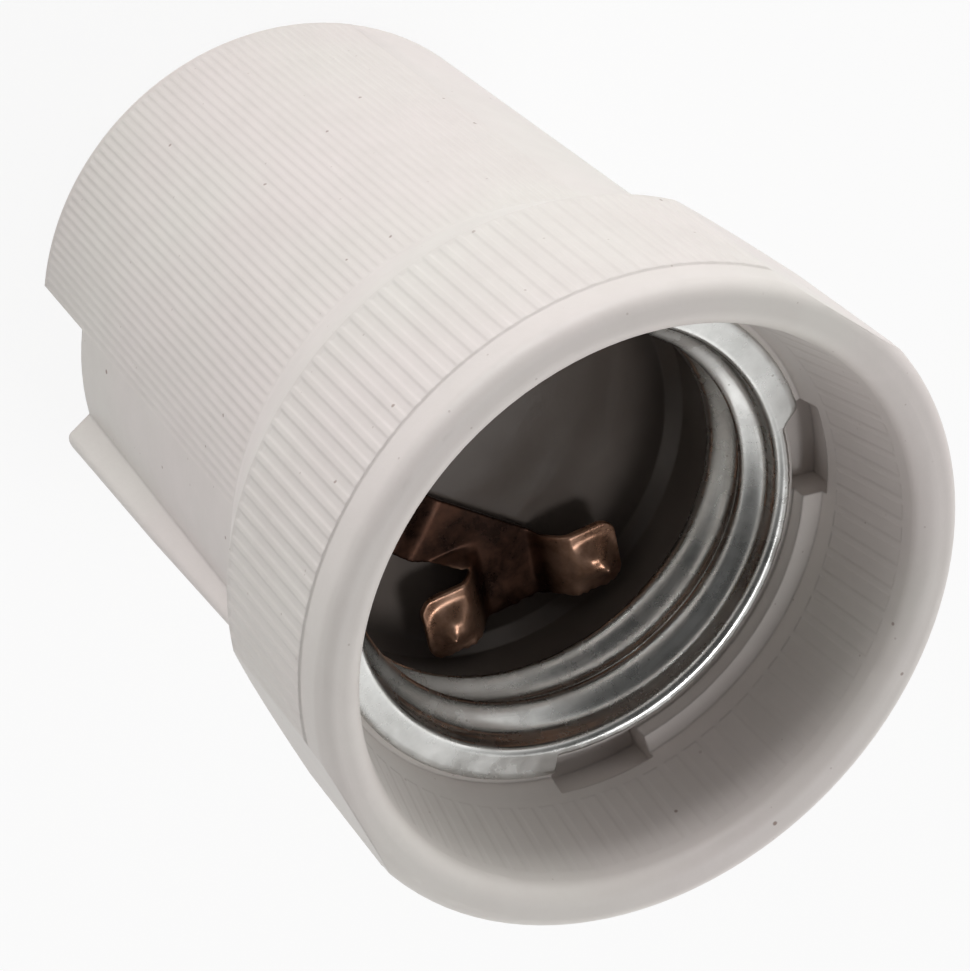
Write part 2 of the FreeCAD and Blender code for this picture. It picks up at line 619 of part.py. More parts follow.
def terminal(name, sign, roof, rivet_hole=None):
    """Brass block under the chamber roof with its clamp plate and clamping screw."""
    x, y = "%sdims.terminal_centre" % sign, "dims.screw_place"
    foot = "(%s - dims.terminal_height)" % roof
    block_body = doc.addObject("PartDesign::Body", name + "_block_blank")
    block = padded(block_body, name + "_block",
                   rectangle("-dims.terminal_length / 2", "dims.terminal_length / 2",
                             "-dims.terminal_width / 2", "dims.terminal_width / 2"),
                   foot, "dims.terminal_height")
    rounded(block_body, name + "_block_edges", block, "dims.terminal_edge", upright)
    bind(block_body, Placement__Base__x=x)
    clamp_top = "%s - dims.clamp_gap" % foot
    clamp_low = "(%s - dims.clamp_sheet)" % clamp_top
    head_top = "(%s - dims.clamp_gap)" % clamp_low
    screw_top = "(%s + dims.screw_length)" % head_top
    hole = cylinder(name + "_thread_hole", "dims.screw_radius + dims.screw_clearance",
                    foot + BELOW, screw_top + " + dims.screw_end_gap", x, y)
    cut(name, block_body, fuse(name + "_holes", [hole, rivet_hole]) if rivet_hole else hole)

    clamp_body = doc.addObject("PartDesign::Body", name + "_clamp_blank")
    half = "dims.clamp_side / 2"
    plate = padded(clamp_body, name + "_clamp_sheet",
                   rectangle("-" + half, half, "-" + half, half), clamp_low, "dims.clamp_sheet")
    rounded(clamp_body, name + "_clamp_corners", plate, "dims.clamp_rounding", upright)
    bind(clamp_body, Placement__Base__x=x, Placement__Base__y=y)
    clamp_hole = cylinder(name + "_clamp_hole", "dims.screw_radius + dims.clamp_hole_gap",
                          clamp_low + BELOW, clamp_top + REACH, x, y)
    cut(name.replace("terminal", "clamp_plate"), clamp_body, clamp_hole)

    screw_body = doc.addObject("PartDesign::Body", name + "_screw_blank")
    head_low = "(%s - dims.head_height)" % head_top
    screw = turned(screw_body, name + "_screw_turned", [
        ("0", head_low), ("dims.head_radius", head_low), ("dims.head_radius", head_top),
        ("dims.screw_radius", head_top), ("dims.screw_radius", screw_top), ("0", screw_top)])
    bevelled(screw_body, name + "_screw_edge", screw, "dims.head_bevel",
             ring_edge(size("head_radius"), value(head_low)))
    bind(screw_body, Placement__Base__x=x, Placement__Base__y=y)
    slot = box(name + "_screw_slot", x + " - dims.head_radius" + BELOW,
               x + " + dims.head_radius" + REACH, y + " - dims.slot_width / 2",
               y + " + dims.slot_width / 2", head_low + BELOW, head_low + " + dims.slot_depth")
    cut(name + "_screw", screw_body, slot)


def shell_strap():
    """Strap from the shell down through the porcelain to the top of its terminal block."""
    face = STRAP_FACE
    top = SEAT + " - dims.strap_drop"
    body = doc.addObject("PartDesign::Body", "shell_strap")
    body.Placement = Placement(Vector(), Rotation(Vector(0, 0, 1), 1.0))
    bind(body, Placement__Rotation__Angle="dims.strap_angle")
    low = "dims.chamber_roof - dims.strap_sheet"
    sketch = body_sketch(body, "strap_profile", "XZ_Plane", [
        (face + " - dims.strap_reach", low), (face + " + dims.strap_sheet", low),
        (face + " + dims.strap_sheet", top), (face, top),
        (face, "dims.chamber_roof"), (face + " - dims.strap_reach", "dims.chamber_roof")],
        "-dims.strap_width / 2")
    strip = body.newObject("PartDesign::Pad", "strap_strip")
    strip.Profile = sketch
    bind(strip, Length="dims.strap_width")


def finish():
    """Check every object, then write each sub-part to its own file."""
    doc.recompute()
    failed = [obj.Name for obj in doc.Objects if {"Invalid", "Error"} & set(obj.State)]
    if failed:
        raise RuntimeError("failed objects: %s" % ", ".join(failed))
    os.makedirs("parts", exist_ok=True)
    for name in NODES:
        node = doc.getObject(name)
        node.Label = name
        if node.Shape.isNull() or not node.Shape.isValid():
            raise RuntimeError("bad shape: %s" % name)
        node.Shape.exportStep("parts/%s.step" % name)
        print(name, round(node.Shape.Volume, 2), len(node.Shape.Solids), len(node.Shape.Faces))


NODES = ["body", "screw_shell", "contact_spring", "contact_rivet", "contact_terminal",
         "contact_clamp_plate", "contact_terminal_screw", "shell_strap", "shell_terminal",
         "shell_clamp_plate", "shell_terminal_screw"]
porcelain()
screw_shell()
contact_spring()
contact_rivet()
terminal("contact_terminal", "", "dims.chamber_roof",
         cylinder("terminal_rivet_hole", RIVET_HOLE,
                  "dims.chamber_roof - dims.terminal_height" + BELOW, "dims.chamber_roof" + REACH,
                  RIVET_X, "dims.rivet_y"))
shell_strap()
terminal("shell_terminal", "-", "(dims.chamber_roof - dims.strap_sheet)")
finish()
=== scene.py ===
import json
from math import atan2, cos, hypot, pi, radians, sin

import bmesh
import bpy
from mathutils import Matrix, Vector, noise

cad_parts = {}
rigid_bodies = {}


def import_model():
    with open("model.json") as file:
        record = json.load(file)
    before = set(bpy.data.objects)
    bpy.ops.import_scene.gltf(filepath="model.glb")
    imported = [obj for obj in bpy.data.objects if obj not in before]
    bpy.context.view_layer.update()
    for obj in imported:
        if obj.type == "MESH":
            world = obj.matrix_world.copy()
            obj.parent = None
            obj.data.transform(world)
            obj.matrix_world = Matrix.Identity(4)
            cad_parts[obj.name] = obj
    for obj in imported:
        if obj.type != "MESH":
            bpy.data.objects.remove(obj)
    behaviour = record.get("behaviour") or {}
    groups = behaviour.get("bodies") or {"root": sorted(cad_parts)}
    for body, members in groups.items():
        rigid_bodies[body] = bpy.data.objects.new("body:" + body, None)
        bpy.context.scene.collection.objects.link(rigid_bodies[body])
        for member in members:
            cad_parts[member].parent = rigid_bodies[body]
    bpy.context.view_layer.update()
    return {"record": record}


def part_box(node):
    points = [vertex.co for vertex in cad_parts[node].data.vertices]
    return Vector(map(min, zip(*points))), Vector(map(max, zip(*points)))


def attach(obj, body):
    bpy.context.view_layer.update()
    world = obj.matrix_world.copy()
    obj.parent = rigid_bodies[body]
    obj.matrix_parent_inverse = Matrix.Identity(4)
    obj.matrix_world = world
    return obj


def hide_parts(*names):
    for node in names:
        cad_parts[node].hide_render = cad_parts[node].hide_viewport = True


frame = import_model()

MM = 0.001
scene = bpy.context.scene
scene.view_settings.view_transform = "Standard"

# Heights that the frame gives
RIM_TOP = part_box("body")[1][2]
SHELL_FOOT, SHELL_TOP = (corner[2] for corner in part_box("screw_shell"))
WELL_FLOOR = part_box("contact_spring")[0][2]

# Screw shell: a sheet drawn into a lip, a plain neck and a right-hand thread.
# The lip is narrow from one angle to the other, with a sharp and a soft end, in degrees.
SHEET = 0.35 * MM
LIP_RADIUS, LIP_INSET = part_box("screw_shell")[1][0], 0.04 * MM
NARROW_LIP = 14.3 * MM
NARROW_FROM, NARROW_TO = 47.0, 163.0
SHARP_TRIM, SOFT_TRIM = 0.9, 5.0
LIP_BEND, LIP_DISH = 0.5 * MM, 0.2 * MM
NECK = 13.42 * MM
NECK_FOOT = SHELL_TOP - 1.25 * MM
THREAD_MEAN, THREAD_WAVE = 12.8 * MM, 0.55 * MM
THREAD_PHASE_HEIGHT, THREAD_PITCH, THREAD_START = 36.05 * MM, 3.629 * MM, 90.0
THREAD_FADE = 1.2 * MM
LIP_WAVE, LIP_RAGGED, CALM_SHARE, FOOT_RAGGED = 0.03 * MM, 0.05 * MM, 0.3, 0.05 * MM
LIP_ROWS, BEND_ROWS, WALL_ROWS, CAP_ROWS = 4, 8, 52, 6
RING_COUNT, RING_STEP, TRIM_RINGS = 300, 1.2, 4

# Contact: a flat blank with a tee and a stem, whose arms are bent up and pressed into domes
LEAF, LEAF_LIFT = 0.4 * MM, 0.45 * MM
LEAF_ANGLE, STEM_ANGLE = radians(63.0), radians(292.0)
FRONT = Vector((cos(LEAF_ANGLE), sin(LEAF_ANGLE), 0.0))
ASIDE = Vector((-sin(LEAF_ANGLE), cos(LEAF_ANGLE), 0.0))
STEM = Vector((cos(STEM_ANGLE), sin(STEM_ANGLE), 0.0))
STEM_SIDE = Vector((-sin(STEM_ANGLE), cos(STEM_ANGLE), 0.0))
RIVET = Vector((7.0 * MM, -3.0 * MM, 0.0))
ARM_BACK, ARM_FRONT, ARM_RIGHT, ARM_LEFT = 6.3 * MM, 10.75 * MM, 6.45 * MM, 6.9 * MM
PLATE_RIGHT, PLATE_LEFT, LEAF_CORNER = 2.1 * MM, 2.6 * MM, 1.05 * MM
ARM_RISE, BEND_INSET, BEND_WIDTH = 1.9 * MM, 0.8 * MM, 2.2 * MM
BEND_FROM, BEND_FADE = 4.9 * MM, 1.6 * MM
FOOT_REACH, FOOT_HALF, STEM_SLOPE = 2.2 * MM, 2.1 * MM, 1.6 * MM
LEAF_PLATE = WELL_FLOOR + LEAF_LIFT + LEAF
LEAF_ARMS = LEAF_PLATE + ARM_RISE
DOME_REACH, DOME_RIGHT, DOME_LEFT = 8.6 * MM, 4.55 * MM, -4.95 * MM
DOME_HALF, DOME_HEIGHT, DOME_SLOPE, SQUARENESS = 1.75 * MM, 0.75 * MM, 0.9, 3
PEAK_SHIFT, PEAK_WIDTH, PEAK_HEIGHT, PEAK_FALL = 0.62 * MM, 0.36 * MM, 0.50 * MM, 2.6
VOXEL, RELAX_FACTOR, RELAX_ROUNDS = 0.10 * MM, 0.5, 5
CUT_ROUGH_MM, CUT_GRAIN, CUT_DEPTH, CUT_FADE = 0.16, 0.4 * MM, 0.5 * MM, 0.4 * MM
WARP, WARP_LENGTH, WARP_SEED = 0.05 * MM, 2.2 * MM, Vector((3.0, 0.0, 0.0))

# Porcelain: radii and heights of the reeded walls
BARREL_FOOT_RADIUS, BARREL_RADIUS, SHOULDER_LOW = 17.5 * MM, 17.75 * MM, 33.0 * MM
FLANGE_RADIUS, SHOULDER_HIGH, FLANGE_TOP = 20.0 * MM, 37.9 * MM, 47.6 * MM
BACK_ROUNDING = 0.8 * MM
SKIRT_RADIUS, MOUTH_RADIUS, SEAT = 15.75 * MM, 17.35 * MM, 40.65 * MM
SKIRT_FROM, SKIRT_TO = SEAT + 1.8 * MM, RIM_TOP - 1.6 * MM
FLAT_REACH, FLAT_ANGLE = 19.3 * MM, radians(14.4)
# The barrel's and the flange's walls lie beyond these radii and below these heights, and
# the skirt lies within this radius
BARREL_INSIDE, BARREL_TO = 16.5 * MM, SHOULDER_LOW + 0.1 * MM
FLANGE_INSIDE, FLANGE_TO = 19.7 * MM, FLANGE_TOP + 0.05 * MM
SKIRT_WITHIN = MOUTH_RADIUS + 0.1 * MM
# The share of a flute's depth that shows, the depth beyond which a point isn't a flute's,
# how far a flute's end is drawn back, and how near counts as on a wall or at an end
FLUTE_SHARE, FLUTE_LIMIT, FLUTE_RAMP = 0.28, 0.24 * MM, 0.35 * MM
HAIR, NEAR_END = 0.004 * MM, 0.02 * MM

# Colours: a pair is the two ends of a cloudy tone, which turns over between the values of
# the noise in CLOUD
CLOUD = 0.3, 0.7
GLAZE = (0.730, 0.672, 0.650, 1), (0.722, 0.690, 0.652, 1)
GLAZE_MOTTLE, GLAZE_SPECK = (0.655, 0.610, 0.580, 1), (0.24, 0.15, 0.12, 1)
# The well's dark brown tone, used inside the skirt from just below the well floor upwards
WELL_DARK_TONE = (0.135, 0.113, 0.100, 1), (0.200, 0.172, 0.155, 1)
# Cells in a metre, share of them with a speck, radius in a cell, and strength
GLAZE_SPECKS = ((900.0, 0.40, 0.080, 0.30), (430.0, 0.50, 0.062, 0.65),
                (230.0, 0.36, 0.046, 0.85))
DARK_WITHIN, PALE_BEYOND = 13.9 * MM, 14.05 * MM
PALE_BELOW, DARK_ABOVE = WELL_FLOOR - 1.0 * MM, WELL_FLOOR - 0.8 * MM
PLATING = (0.66, 0.665, 0.65, 1), (0.84, 0.845, 0.83, 1)
PLATING_STREAK, PLATING_PIT = (0.40, 0.39, 0.37, 1), (0.25, 0.23, 0.20, 1)
# Plate and arm tones of the contact: the plate's dark brown is partly tarnish and partly
# painted shade, the arms' pink partly painted light
LEAF_SHADED_BROWN = (0.022, 0.009, 0.005, 1), (0.066, 0.028, 0.016, 1)
LEAF_LIT_PINK = (0.360, 0.195, 0.125, 1), (0.600, 0.370, 0.265, 1)
LEAF_STAIN = (0.060, 0.035, 0.025, 1)
# Painted shade and light by height: the sheet is darker below the first height and lighter
# above the second
SHADED_BELOW, LIT_ABOVE = LEAF_PLATE + 0.3 * MM, LEAF_ARMS - 0.2 * MM
BRONZE = (0.30, 0.15, 0.09, 1), (0.58, 0.34, 0.23, 1)
BRASS = (0.52, 0.36, 0.18, 1), (0.72, 0.54, 0.30, 1)
STEEL = (0.50, 0.50, 0.48, 1), (0.68, 0.68, 0.66, 1)
# Radii to which the shading rounds the edges
GLAZE_EDGE, METAL_EDGE = 0.20 * MM, 0.08 * MM

# Camera: its place, its axes and its lens
CAMERA_PLACE = Vector((1.17, -107.6, 164.5)) * MM
CAMERA_RIGHT = Vector((-0.6989, 0.5564, 0.4494))
CAMERA_UP = Vector((-0.7152, -0.5437, -0.4392))
CAMERA_BACK = Vector((0.0, -0.6284, 0.7779))
CAMERA_LENS, CAMERA_SENSOR, CAMERA_NEAR = 107.63, 36.0, 0.01

# Light: the tent's white, its dark side, and how it falls off towards that side
TENT_WHITE, TENT_DARK_SIDE = (1.0, 0.995, 0.985, 1), Vector((0.05, -0.40, 0.915))
TENT_FALL = (("From Min", 0.15), ("From Max", 0.80), ("To Min", 1.26), ("To Max", 0.06))
FLOOR_SIZE, FLOOR_HEIGHT, FLOOR_ROUGHNESS = 3.0, -0.2 * MM, 0.9
FLOOR_COLOUR, FLOOR_GLOW, FLOOR_GLOW_SHARE = (0.90, 0.90, 0.90, 1), (1, 1, 1, 1), 0.90
# Name, place and size in metres, and watts
LAMPS = (("key", (-0.28, -0.46, 0.06), (0.60, 0.10), 1.9),
         ("well", (0.0, 0.15, 0.60), (0.14, 0.14), 0.7))
LAMPS_AIM = Vector((0, 0, 0.03))


# ---------------------------------------------------------------- node helpers

class Graph:
    """A material's node tree with short calls for the nodes that the finishes share."""

    def __init__(self, name):
        self.material = bpy.data.materials.new(name)
        self.material.use_nodes = True
        self.tree = self.material.node_tree
        self.shader = self.tree.nodes["Principled BSDF"]
        self.place = self.add("ShaderNodeTexCoord").outputs["Object"]

    def add(self, kind, **settings):
        node = self.tree.nodes.new(kind)
        for name, value in settings.items():
            setattr(node, name, value)
        return node

    def join(self, source, target):
        self.tree.links.new(source, target)

    def feed(self, socket, value):
        """Link a socket, or set it where the value is a constant."""
        if isinstance(value, bpy.types.NodeSocket):
            self.join(value, socket)
        else:
            socket.default_value = value

    def maths(self, operation, first, second=0.0):
        node = self.add("ShaderNodeMath", operation=operation)
        self.feed(node.inputs[0], first)
        self.feed(node.inputs[1], second)
        return node.outputs[0]

    def noise(self, scale, detail=3.0, rough=0.5, place=None):
        node = self.add("ShaderNodeTexNoise")
        self.join(place or self.place, node.inputs["Vector"])
        node.inputs["Scale"].default_value = scale
        node.inputs["Detail"].default_value = detail
        node.inputs["Roughness"].default_value = rough
        return node.outputs["Fac"]

    def lines(self, level, scale, rough):
        """Noise in flat layers, seen as lines round the axis: level scales it in X and Y."""
        stretch = self.add("ShaderNodeMapping")
        stretch.inputs["Scale"].default_value = (level, level, 1.0)
        self.join(self.place, stretch.inputs["Vector"])
        return self.noise(scale, 3.0, rough, stretch.outputs["Vector"])

    def ramp(self, value, low, high, out_low=0.0, out_high=1.0):
        node = self.add("ShaderNodeMapRange", interpolation_type="SMOOTHSTEP")
        for name, number in (("Value", value), ("From Min", low), ("From Max", high),
                             ("To Min", out_low), ("To Max", out_high)):
            self.feed(node.inputs[name], number)
        return node.outputs["Result"]

    def blend(self, factor, first, second):
        node = self.add("ShaderNodeMix", data_type="RGBA")
        self.feed(node.inputs[0], factor)
        self.feed(node.inputs[6], first)
        self.feed(node.inputs[7], second)
        return node.outputs[2]

    def axes(self):
        node = self.add("ShaderNodeSeparateXYZ")
        self.join(self.place, node.inputs[0])
        return node.outputs

    def radius(self):
        """Distance from the lamp axis."""
        axes = self.axes()
        squares = [self.maths("MULTIPLY", axes[name], axes[name]) for name in "XY"]
        return self.maths("SQRT", self.maths("ADD", *squares))

    def specks(self, scale, share, size, strength):
        """Small round marks: size is their radius as a part of a cell, share how many show."""
        cell = self.add("ShaderNodeTexVoronoi")
        self.join(self.place, cell.inputs["Vector"])
        cell.inputs["Scale"].default_value = scale
        pick = self.add("ShaderNodeSeparateColor")
        self.join(cell.outputs["Color"], pick.inputs[0])
        shown = self.ramp(pick.outputs[0], 1.0 - share, 1.0 - share * 0.9)
        disc = self.ramp(cell.outputs["Distance"], size * 0.5, size, 1.0, 0.0)
        return self.maths("MULTIPLY", self.maths("MULTIPLY", shown, disc), strength)

    def soft_edges(self, radius):
        node = self.add("ShaderNodeBevel", samples=3)
        node.inputs["Radius"].default_value = radius
        return node.outputs[0]

    def bump(self, height, strength, distance, normal=None):
        node = self.add("ShaderNodeBump")
        self.feed(node.inputs["Height"], height)
        node.inputs["Strength"].default_value = strength
        node.inputs["Distance"].default_value = distance
        if normal:
            self.join(normal, node.inputs["Normal"])
        return node.outputs["Normal"]

    def finished(self, colour, metallic, roughness, normal):
        for name, value in (("Base Color", colour), ("Metallic", metallic),
                            ("Roughness", roughness), ("Normal", normal)):
            self.feed(self.shader.inputs[name], value)
        return self.material


# ---------------------------------------------------------------- finishes

def porcelain():
    """Pale satin glaze with faint specks and mottling; the well is coloured dark brown."""
    g = Graph("porcelain")
    pale = g.blend(g.ramp(g.noise(55.0, 2.0), 0.35, 0.68), *GLAZE)
    pale = g.blend(g.ramp(g.noise(330.0, 4.0, 0.6), 0.35, 0.7, 0.0, 0.30), pale, GLAZE_MOTTLE)
    for row in GLAZE_SPECKS:
        pale = g.blend(g.specks(*row), pale, GLAZE_SPECK)
    dark = g.blend(g.ramp(g.noise(90.0), *CLOUD), *WELL_DARK_TONE)
    inside = g.maths("MULTIPLY", g.ramp(g.radius(), DARK_WITHIN, PALE_BEYOND, 1.0, 0.0),
                     g.ramp(g.axes()["Z"], PALE_BELOW, DARK_ABOVE))
    grain = g.maths("ADD", g.noise(1500.0, 4.0, 0.6),
                    g.maths("MULTIPLY", g.noise(260.0, 2.0), 2.5))
    return g.finished(g.blend(inside, pale, dark), 0.0, g.ramp(inside, 0.0, 1.0, 0.46, 0.11),
                      g.bump(grain, 0.30, 0.05 * MM, g.soft_edges(GLAZE_EDGE)))


def sheet_metal(name, low, high):
    """Worn metal: cloudy tone, dull specks, fine working lines and slight dents."""
    g = Graph(name)
    colour = g.blend(g.ramp(g.noise(300.0, 5.0, 0.65), *CLOUD), low, high)
    dull = tuple(0.35 * part for part in low[:3]) + (1,)
    colour = g.blend(g.specks(900.0, 0.25, 0.12, 0.5), colour, dull)
    relief = g.maths("ADD", g.lines(0.08, 1500.0, 0.6), g.noise(400.0, 2.0))
    return g.finished(colour, 1.0, g.ramp(g.noise(700.0, 4.0, 0.6), *CLOUD, 0.225, 0.39),
                      g.bump(relief, 0.20, 0.02 * MM, g.soft_edges(METAL_EDGE)))


def plated_shell():
    """Bright plating drawn thin: soft streaks round the axis, dull clouds and dark pits."""
    g = Graph("plated_shell")
    colour = g.blend(g.ramp(g.noise(220.0, 5.0, 0.65), *CLOUD), *PLATING)
    streak = g.lines(0.05, 2600.0, 0.65)
    colour = g.blend(g.ramp(streak, 0.45, 0.75, 0.0, 0.35), colour, PLATING_STREAK)
    colour = g.blend(g.specks(1100.0, 0.22, 0.11, 0.45), colour, PLATING_PIT)
    relief = g.maths("ADD", g.maths("MULTIPLY", streak, 0.6), g.noise(500.0, 3.0))
    return g.finished(colour, 1.0, g.ramp(g.noise(500.0, 4.0, 0.6), *CLOUD, 0.20, 0.34),
                      g.bump(relief, 0.12, 0.02 * MM))


def tarnish_and_shade_leaf():
    """Copper-toned spring sheet: dark brown on the low plate, partly tarnish and partly painted
    shade, and pink and brighter on the raised arms, partly painted light.
    """
    g = Graph("tarnish_and_shade_leaf")
    # Painted shade and light: the low plate is coloured darker and the raised arms lighter, by
    # height alone
    lit_by_height = g.ramp(g.axes()["Z"], SHADED_BELOW, LIT_ABOVE)
    cloud = g.noise(420.0, 5.0, 0.7)
    brown = g.blend(g.ramp(cloud, 0.35, 0.7), *LEAF_SHADED_BROWN)
    pink = g.blend(g.ramp(cloud, 0.35, 0.7), *LEAF_LIT_PINK)
    lit_share = g.maths("MULTIPLY", lit_by_height, g.ramp(g.noise(160.0, 3.0), 0.25, 0.6, 0.55, 1.0))
    colour = g.blend(g.specks(1300.0, 0.35, 0.12, 0.55), g.blend(lit_share, brown, pink),
                     LEAF_STAIN)
    relief = g.maths("ADD", g.noise(1800.0, 4.0, 0.6),
                     g.maths("MULTIPLY", g.noise(500.0, 2.0), 1.5))
    return g.finished(colour, 0.8, g.ramp(cloud, *CLOUD, 0.24, 0.42),
                      g.bump(relief, 0.30, 0.03 * MM))


FINISH = {
    "porcelain": porcelain(),
    "plated_sheet": plated_shell(),
    "bronze_sheet": sheet_metal("bronze_sheet", *BRONZE),
    "brass": sheet_metal("brass", *BRASS),
    "plated_steel": sheet_metal("plated_steel", *STEEL),
}
for row in frame["record"]["subparts"]:
    node = bpy.data.objects[row["node"]]
    node.data.materials.clear()
    node.data.materials.append(FINISH[row["material_slot"]])


def add_piece(mesh, name, material, node):
    piece = bpy.data.objects.new(name, mesh)
    scene.collection.objects.link(piece)
    mesh.materials.clear()
    mesh.materials.append(material)
    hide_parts(node)
    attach(piece, "holder")


# ---------------------------------------------------------------- screw shell

def eased(part):
    """Smooth step from 0 to 1."""
    part = min(max(part, 0.0), 1.0)
    return part * part * (3.0 - 2.0 * part)


def wander(angle, seed, scale):
    """Unevenness round the axis, from -1 to 1: the larger the scale, the finer it is."""
    return noise.noise(Vector((scale * cos(angle), scale * sin(angle), seed)))


def lip_edge(angle):
    """Outer radius of the lip, which is cut narrow where the ledge and its pockets are."""
    turn = angle * 180.0 / pi
    cut = eased((turn - NARROW_FROM) / SHARP_TRIM) * eased((NARROW_TO - turn) / SOFT_TRIM)
    ragged = LIP_RAGGED * wander(angle, seed=4.0, scale=30.0)
    ragged *= 1.0 if cut > 0.0 else CALM_SHARE
    return LIP_RADIUS - LIP_INSET + (NARROW_LIP - LIP_RADIUS) * cut + ragged


def wall_radius(angle, z):
    """Inner radius of the neck and of the thread that it runs into."""
    turns = (z - THREAD_PHASE_HEIGHT) / THREAD_PITCH
    turns -= (angle * 180.0 / pi - THREAD_START) / 360.0
    thread = THREAD_MEAN + THREAD_WAVE * cos(2.0 * pi * turns)
    return NECK + (thread - NECK) * eased((NECK_FOOT - z) / THREAD_FADE)


def shell_section(angle):
    """Closed outline of the sheet at one angle, as pairs of radius and height."""
    top = SHELL_TOP - LIP_WAVE + LIP_WAVE * wander(angle, seed=1.0, scale=3.0)
    foot = SHELL_FOOT + FOOT_RAGGED + FOOT_RAGGED * wander(angle, seed=7.0, scale=40.0)
    edge = lip_edge(angle) - SHEET / 2
    face = []
    for i in range(LIP_ROWS + 1):
        radius = edge + (NECK + LIP_BEND - edge) * i / LIP_ROWS
        face.append((radius, top - LIP_DISH * (LIP_RADIUS - radius) / (LIP_RADIUS - NECK)))
    crown = face[-1][1]
    for i in range(1, BEND_ROWS + 1):
        turn = pi / 2 * (1 + i / BEND_ROWS)
        face.append((NECK + LIP_BEND + LIP_BEND * cos(turn),
                     crown - LIP_BEND + LIP_BEND * sin(turn)))
    start = face[-1][1]
    for i in range(1, WALL_ROWS + 1):
        z = start + (foot - start) * i / WALL_ROWS
        face.append((wall_radius(angle, z), z))
    back = []
    for i, (radius, z) in enumerate(face):
        before, after = face[max(i - 1, 0)], face[min(i + 1, len(face) - 1)]
        along = Vector((after[0] - before[0], after[1] - before[1])).normalized()
        back.append((radius - along[1] * SHEET, z + along[0] * SHEET))
    middle = face[0][1] - SHEET / 2
    cap = [(edge + SHEET / 2 * sin(pi * k / CAP_ROWS),
            middle + SHEET / 2 * cos(pi * k / CAP_ROWS)) for k in range(1, CAP_ROWS)]
    return face + back[::-1] + cap[::-1]


def screw_shell():
    """Smooth thin sheet with a rolled lip, in place of the plain CAD shell."""
    trim = [NARROW_FROM + SHARP_TRIM * k / TRIM_RINGS for k in range(TRIM_RINGS + 1)]
    work = bmesh.new()
    rings = []
    for turn in sorted(set(trim + [RING_STEP * k for k in range(RING_COUNT)])):
        angle = radians(turn)
        rings.append([work.verts.new((r * cos(angle), r * sin(angle), z))
                      for r, z in shell_section(angle)])
    for i, ring in enumerate(rings):
        after = rings[(i + 1) % len(rings)]
        for j in range(len(ring)):
            k = (j + 1) % len(ring)
            work.faces.new((ring[j], ring[k], after[k], after[j]))
    bmesh.ops.recalc_face_normals(work, faces=work.faces)
    mesh = bpy.data.meshes.new("shell_sheet")
    work.to_mesh(mesh)
    work.free()
    mesh.shade_smooth()
    return mesh


# ---------------------------------------------------------------- contact

def leaf_spot(reach, across):
    return FRONT * reach + ASIDE * across


def stem_spot(along, across):
    return RIVET + STEM * along + STEM_SIDE * across


def leaf_blank():
    """Flat sheet with the contact's outline: the tee with rounded arms, its stem and foot."""
    slope = -FOOT_REACH - STEM_SLOPE
    tee = [leaf_spot(ARM_BACK, ARM_RIGHT), leaf_spot(ARM_FRONT, ARM_RIGHT),
           leaf_spot(ARM_FRONT, -ARM_LEFT), leaf_spot(ARM_BACK, -ARM_LEFT)]
    stem = [leaf_spot(ARM_BACK, -PLATE_LEFT), stem_spot(slope, FOOT_HALF)]
    foot = [stem_spot(FOOT_REACH, FOOT_HALF), stem_spot(FOOT_REACH, -FOOT_HALF)]
    back = [stem_spot(slope, -FOOT_HALF), leaf_spot(ARM_BACK, PLATE_RIGHT)]
    work = bmesh.new()
    corners = [work.verts.new(spot) for spot in tee + stem + foot + back]
    work.faces.new(corners)
    bmesh.ops.bevel(work, geom=corners[:4] + corners[6:8], offset=LEAF_CORNER, segments=6,
                    profile=0.5, affect="VERTICES")
    top = bmesh.ops.extrude_face_region(work, geom=work.faces[:])
    lifted = [item for item in top["geom"] if isinstance(item, bmesh.types.BMVert)]
    bmesh.ops.translate(work, verts=lifted, vec=(0.0, 0.0, LEAF))
    bmesh.ops.recalc_face_normals(work, faces=work.faces)
    mesh = bpy.data.meshes.new("leaf_blank")
    work.to_mesh(mesh)
    work.free()
    return mesh


def softened(mesh):
    """A fine remesh of a blank, relaxed so that its cut edges are worn round."""
    blank = bpy.data.objects.new("softening", mesh)
    scene.collection.objects.link(blank)
    remesh = blank.modifiers.new("remesh", "REMESH")
    remesh.mode = "VOXEL"
    remesh.voxel_size = VOXEL
    relax = blank.modifiers.new("relax", "SMOOTH")
    relax.factor = RELAX_FACTOR
    relax.iterations = RELAX_ROUNDS
    bpy.context.view_layer.update()
    worn = blank.evaluated_get(bpy.context.evaluated_depsgraph_get())
    result = bpy.data.meshes.new_from_object(worn)
    bpy.data.objects.remove(blank)
    return result


def dome_rise(reach, across):
    """Height over an arm's top of the rounded square dome and its off-centre peak."""
    side, centre = (1.0, DOME_RIGHT) if across > 0.0 else (-1.0, DOME_LEFT)
    forth, out = (reach - DOME_REACH) / DOME_HALF, (across - centre) / DOME_HALF
    away = (abs(forth) ** SQUARENESS + abs(out) ** SQUARENESS) ** (1 / SQUARENESS)
    tip = hypot(reach - DOME_REACH - PEAK_SHIFT, across - centre - side * PEAK_SHIFT)
    dome = DOME_HEIGHT * eased((1.0 - away) / DOME_SLOPE)
    return dome + PEAK_HEIGHT / (1.0 + (tip / PEAK_WIDTH) ** PEAK_FALL)


def leaf_height(place):
    """How far the sheet is lifted at a place: along the stem, the bends and the domes."""
    reach, across = place.dot(FRONT), place.dot(ASIDE)
    lift = LEAF_LIFT * eased((-FOOT_REACH - (place - RIVET).dot(STEM)) / STEM_SLOPE)
    inner = (PLATE_RIGHT if across > 0.0 else PLATE_LEFT) - BEND_INSET
    bend = eased((abs(across) - inner) / BEND_WIDTH) * eased((reach - BEND_FROM) / BEND_FADE)
    dome = dome_rise(reach, across) if reach > ARM_BACK - MM else 0.0
    return lift + ARM_RISE * bend + dome


